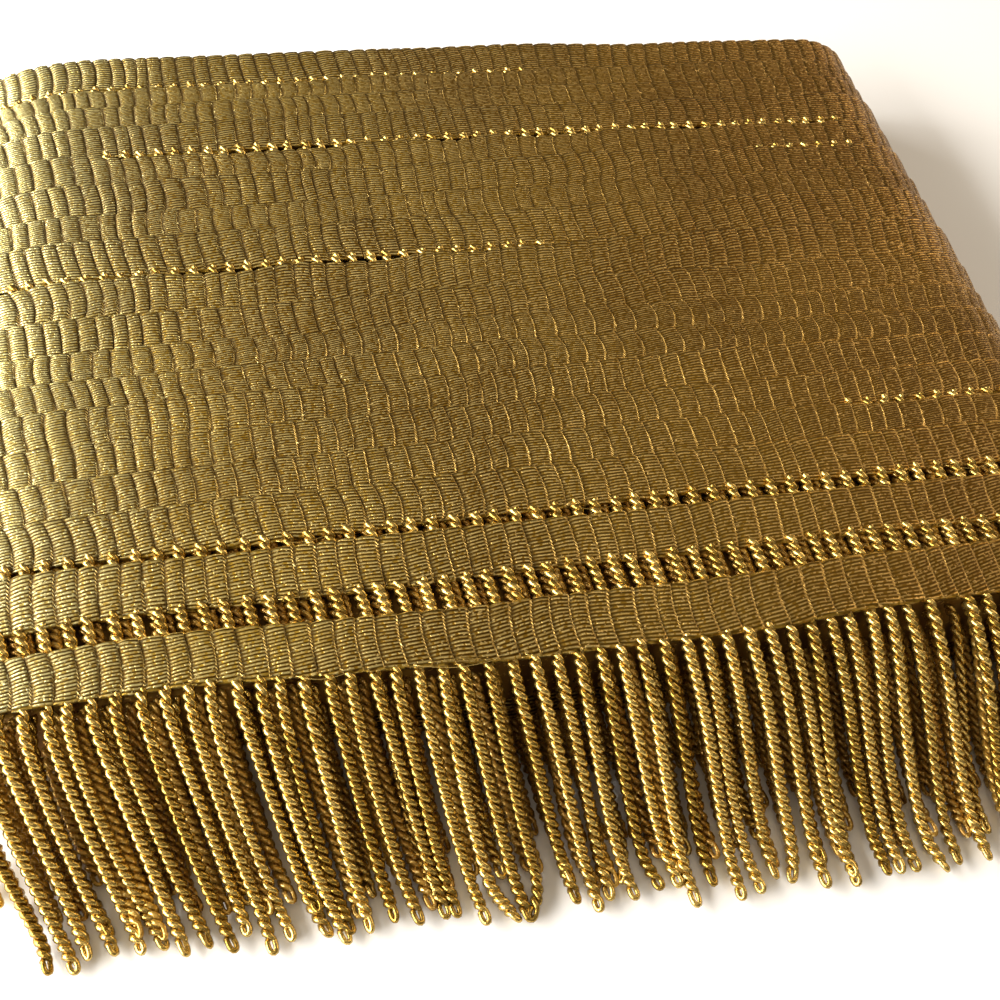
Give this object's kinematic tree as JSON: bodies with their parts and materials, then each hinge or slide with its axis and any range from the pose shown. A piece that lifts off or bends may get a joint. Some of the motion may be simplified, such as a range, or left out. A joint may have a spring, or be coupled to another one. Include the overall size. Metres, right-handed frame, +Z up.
{
  "type": "metallic bullion fringe trim, wound flat into a pack",
  "caption": "Gold metallic bullion fringe trim wound flat in shingled rows of ribbed heading, with twisted looped cords spilling from its front edge.",
  "frame": {"origin": "centre of the underside of the whole pack, on the surface that it lies on", "axes": "+X along the wound rows, -Y the way the fringe points, +Z up"},
  "size_m": [0.2068, 0.2042, 0.0223],
  "materials": {
    "heading": "woven metallic yarn with a soft glitter",
    "cords": "bright twisted metallic yarn"
  },
  "bodies": {
    "root": {"wound_turns": "heading", "upper_fringe": "cords", "middle_fringe": "cords", "lower_fringe": "cords"}
  },
  "joints": []
}
